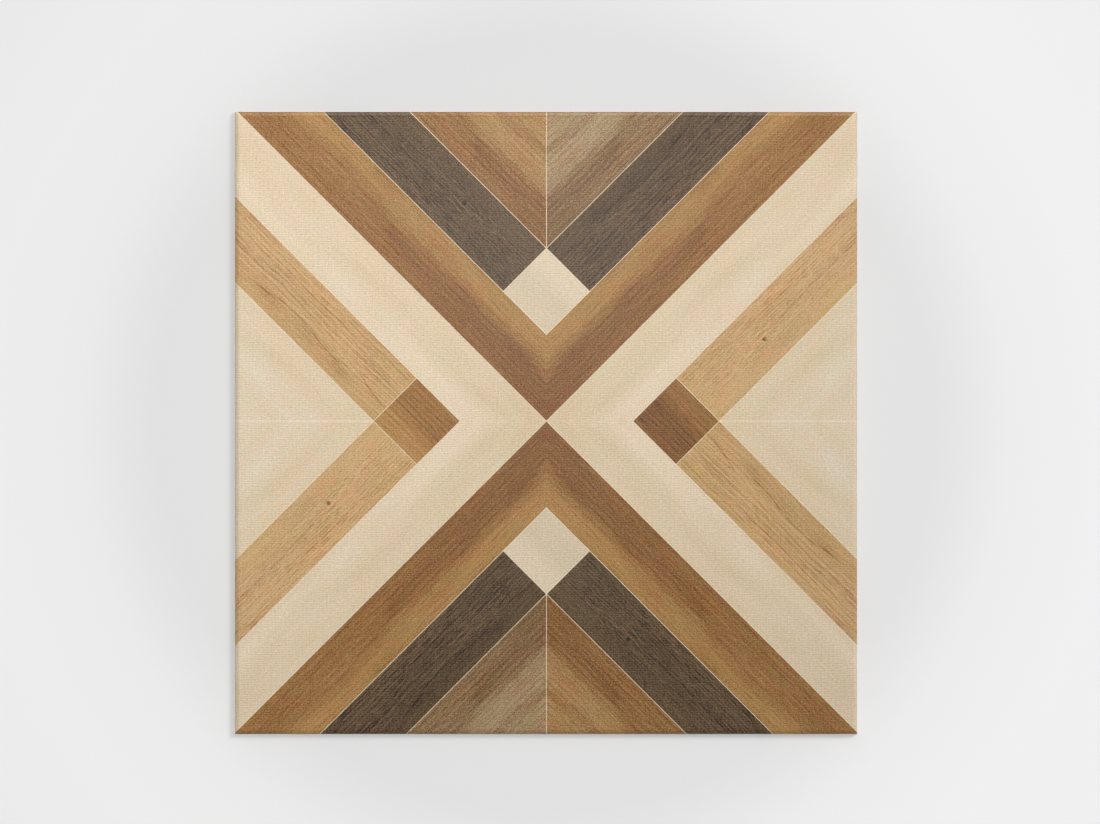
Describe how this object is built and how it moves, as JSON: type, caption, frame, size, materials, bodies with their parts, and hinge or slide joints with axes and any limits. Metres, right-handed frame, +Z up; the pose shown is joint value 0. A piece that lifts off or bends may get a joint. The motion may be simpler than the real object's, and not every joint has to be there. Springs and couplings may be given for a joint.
{
  "type": "vinyl floor tile",
  "caption": "Flat square vinyl floor tile with rounded face edges and a printed mitred wood-inlay design, glued down edge to edge with its neighbours.",
  "frame": {"origin": "centre of the back face, the face that is glued to the floor", "axes": "+Z up through the printed face, X and Y along the square's edges, +Y towards the picture's upper edge"},
  "size_m": [0.2, 0.2, 0.0025],
  "materials": {
    "vinyl": "matt printed vinyl with a fine linen emboss"
  },
  "bodies": {
    "root": {"vinyl_tile": "vinyl"}
  },
  "joints": []
}
